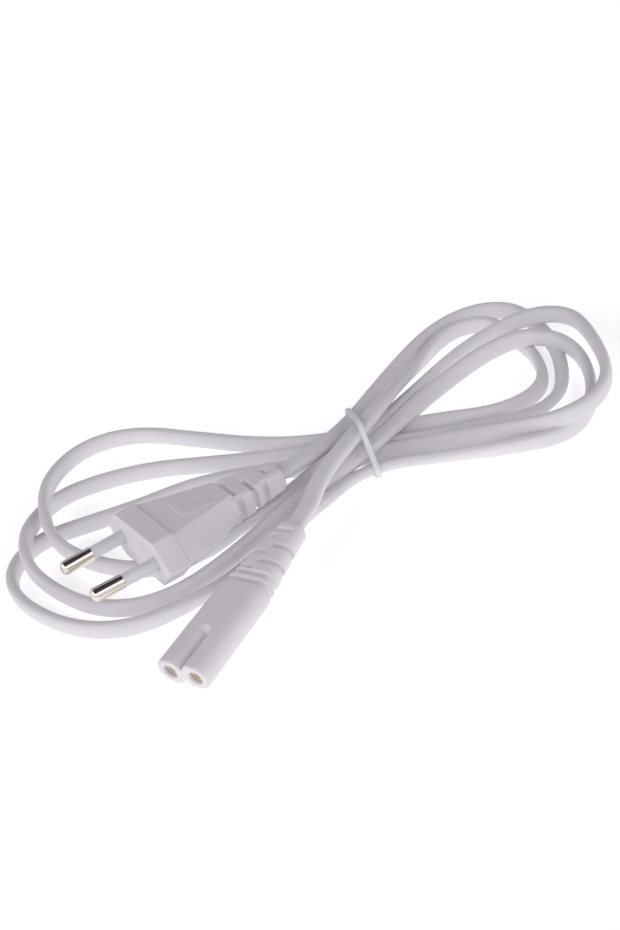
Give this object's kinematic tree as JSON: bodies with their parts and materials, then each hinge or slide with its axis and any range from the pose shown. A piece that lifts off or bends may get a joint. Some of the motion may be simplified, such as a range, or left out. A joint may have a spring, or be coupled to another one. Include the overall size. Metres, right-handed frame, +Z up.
{
  "type": "figure eight power connector",
  "caption": "Mains lead with a figure-eight appliance connector, a slim two-pin plug and a two-core flat cable gathered in loops under a wire tie.",
  "frame": {"origin": "on the floor under the middle of the connector", "axes": "+Y from the connector's mouth to its cable end, +Z up"},
  "size_m": [0.152, 0.1691, 0.0189],
  "materials": {
    "white_vinyl": "satin white vinyl",
    "cable_vinyl": "satin white vinyl",
    "ivory_plastic": "plain ivory moulding",
    "sleeve_plastic": "satin white",
    "nickel": "bright nickel plate",
    "tin_brass": "plain",
    "core_brown": "plain",
    "core_blue": "plain",
    "tie_white": "satin white"
  },
  "bodies": {
    "root": {"connector_body": "white_vinyl", "connector_core": "ivory_plastic", "contact_left": "tin_brass", "contact_right": "tin_brass", "connector_wire_left": "core_brown", "connector_wire_right": "core_blue", "plug_body": "white_vinyl", "plug_bridge": "ivory_plastic", "pin_left": "nickel", "pin_right": "nickel", "pin_sleeve_left": "sleeve_plastic", "pin_sleeve_right": "sleeve_plastic", "plug_wire_left": "core_brown", "plug_wire_right": "core_blue", "cable": "cable_vinyl", "wire_tie": "tie_white"}
  },
  "joints": []
}
